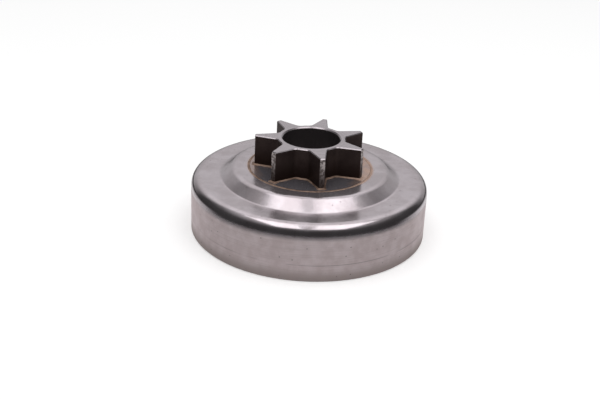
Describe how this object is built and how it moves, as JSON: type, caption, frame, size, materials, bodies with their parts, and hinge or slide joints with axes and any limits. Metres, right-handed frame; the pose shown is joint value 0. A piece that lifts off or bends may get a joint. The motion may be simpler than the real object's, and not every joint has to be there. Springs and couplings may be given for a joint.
{
  "type": "chainsaw clutch drum",
  "caption": "Steel clutch drum for a chainsaw: a drawn cup with a stepped hub, and a star-shaped chain sprocket brazed into its centre.",
  "frame": {"origin": "centre of the open rim's plane, on the drum's axis", "axes": "+Z along the drum's axis towards the sprocket; -Y towards the camera of the picture"},
  "size_m": [0.075, 0.075, 0.0307],
  "materials": {
    "cup_steel": "satin, drawn and turned, fine rings, small pits",
    "sprocket_steel": "hardened, dark scale on the flanks, bright turned top",
    "braze_copper": "dull copper from furnace brazing"
  },
  "bodies": {
    "root": {"drum_cup": "cup_steel", "spur_sprocket": "sprocket_steel", "braze_ring": "braze_copper", "braze_foot_bead": "braze_copper"}
  },
  "joints": []
}
